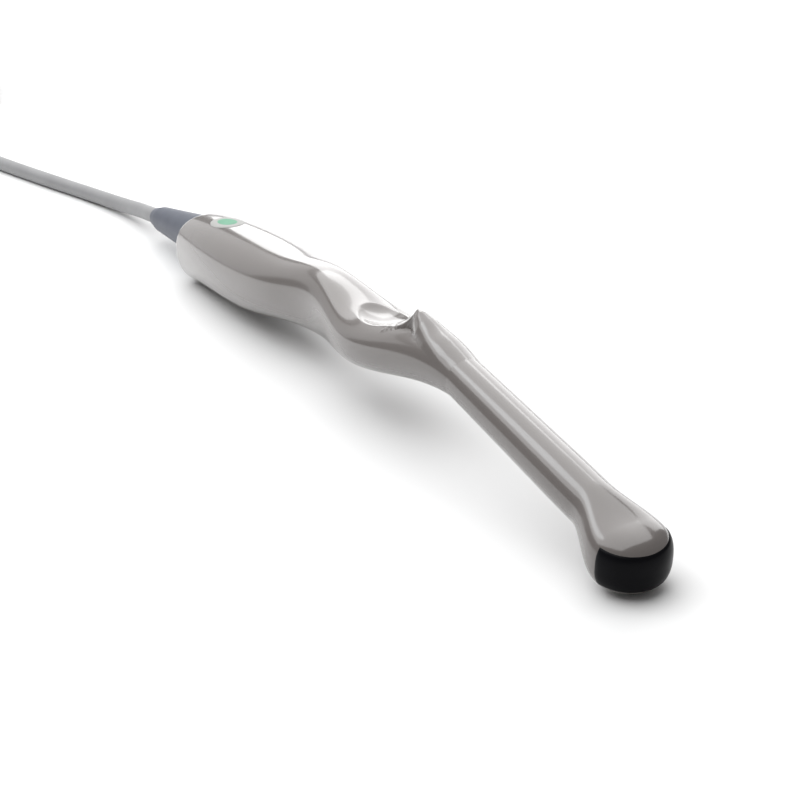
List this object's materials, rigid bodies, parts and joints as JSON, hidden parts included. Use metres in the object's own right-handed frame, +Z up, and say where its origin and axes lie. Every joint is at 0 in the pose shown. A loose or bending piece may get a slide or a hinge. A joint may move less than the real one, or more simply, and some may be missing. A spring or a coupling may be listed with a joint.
{
  "type": "ultrasound endocavity probe",
  "caption": "Hand-held endocavity ultrasound probe: black micro-convex lens on a slim shaft, contoured grip, cable in a tied hank, and a connector with a quarter-turn lock.",
  "frame": {"origin": "centre of the footprint of the probe and its strain relief, on the floor that the probe rests on", "axes": "+X towards the lens tip, +Z up out of the floor, thumb side of the handle up"},
  "size_m": [0.9325, 0.0782, 0.0487],
  "materials": {
    "casing": "polished light warm grey, medical ABS",
    "lens_rubber": "glossy black silicone",
    "matching": "filled epoxy",
    "ceramic": "diced piezo ceramic",
    "backing": "dense loaded epoxy",
    "carrier": "moulded",
    "flex_film": "amber polyimide film",
    "board": "green solder mask",
    "chip": "moulded black",
    "socket": "moulded",
    "steel": "stainless",
    "shield_metal": "tinned copper",
    "seal_rubber": "moulded silicone",
    "clamp_plastic": "moulded nylon",
    "bundle": "bound fine coaxial wires",
    "cable_jacket": "satin mid grey PVC",
    "relief_rubber": "satin slate blue",
    "badge_white": "pale, smooth",
    "badge_green": "soft teal green, smooth",
    "tie": "black hook-and-loop strap",
    "housing": "fine texture light grey",
    "knob": "dark slate",
    "contact_gold": "gold plated"
  },
  "bodies": {
    "probe": {"nose_shell": "casing", "shaft_tube": "casing", "handle_shell_upper": "casing", "handle_shell_lower": "casing", "acoustic_lens": "lens_rubber", "outer_matching_layer": "matching", "inner_matching_layer": "matching", "piezo_elements": "ceramic", "backing_block": "backing", "array_carrier": "carrier", "lower_flex_circuit": "flex_film", "upper_flex_circuit": "flex_film", "termination_board": "board", "connector_board": "board", "preamp_chips": "chip", "flex_sockets": "socket", "contact_block": "socket", "board_screws": "steel", "clamp_screws": "steel", "connector_cover_screws": "steel", "guide_pins": "steel", "plug_shroud": "steel", "shaft_shield_tube": "shield_metal", "connector_shield": "shield_metal", "ground_ferrule": "shield_metal", "shaft_seal": "seal_rubber", "mating_face_gasket": "seal_rubber", "cable_clamp_base": "clamp_plastic", "cable_clamp_cap": "clamp_plastic", "lock_bush": "clamp_plastic", "coax_bundle": "bundle", "cable_jacket_end": "cable_jacket", "cable_run": "cable_jacket", "cable_hank": "cable_jacket", "cable_plug_lead": "cable_jacket", "connector_jacket_end": "cable_jacket", "strain_relief": "relief_rubber", "connector_boot": "relief_rubber", "badge_plate": "badge_white", "badge_inlay": "badge_green", "hank_tie": "tie", "connector_cover_lower": "housing", "connector_cover_upper": "housing", "plug_contacts": "contact_gold"},
    "lock": {"lock_knob": "knob", "lock_stem": "steel", "lock_cam": "steel", "lock_retaining_ring": "steel"}
  },
  "joints": [
    {"name": "lock_turn", "type": "hinge", "parent": "probe", "child": "lock", "pos_m": [-0.615, -0.0075, 0.0317], "axis": [0, 1, 0], "range_deg": [0, 90]}
  ]
}
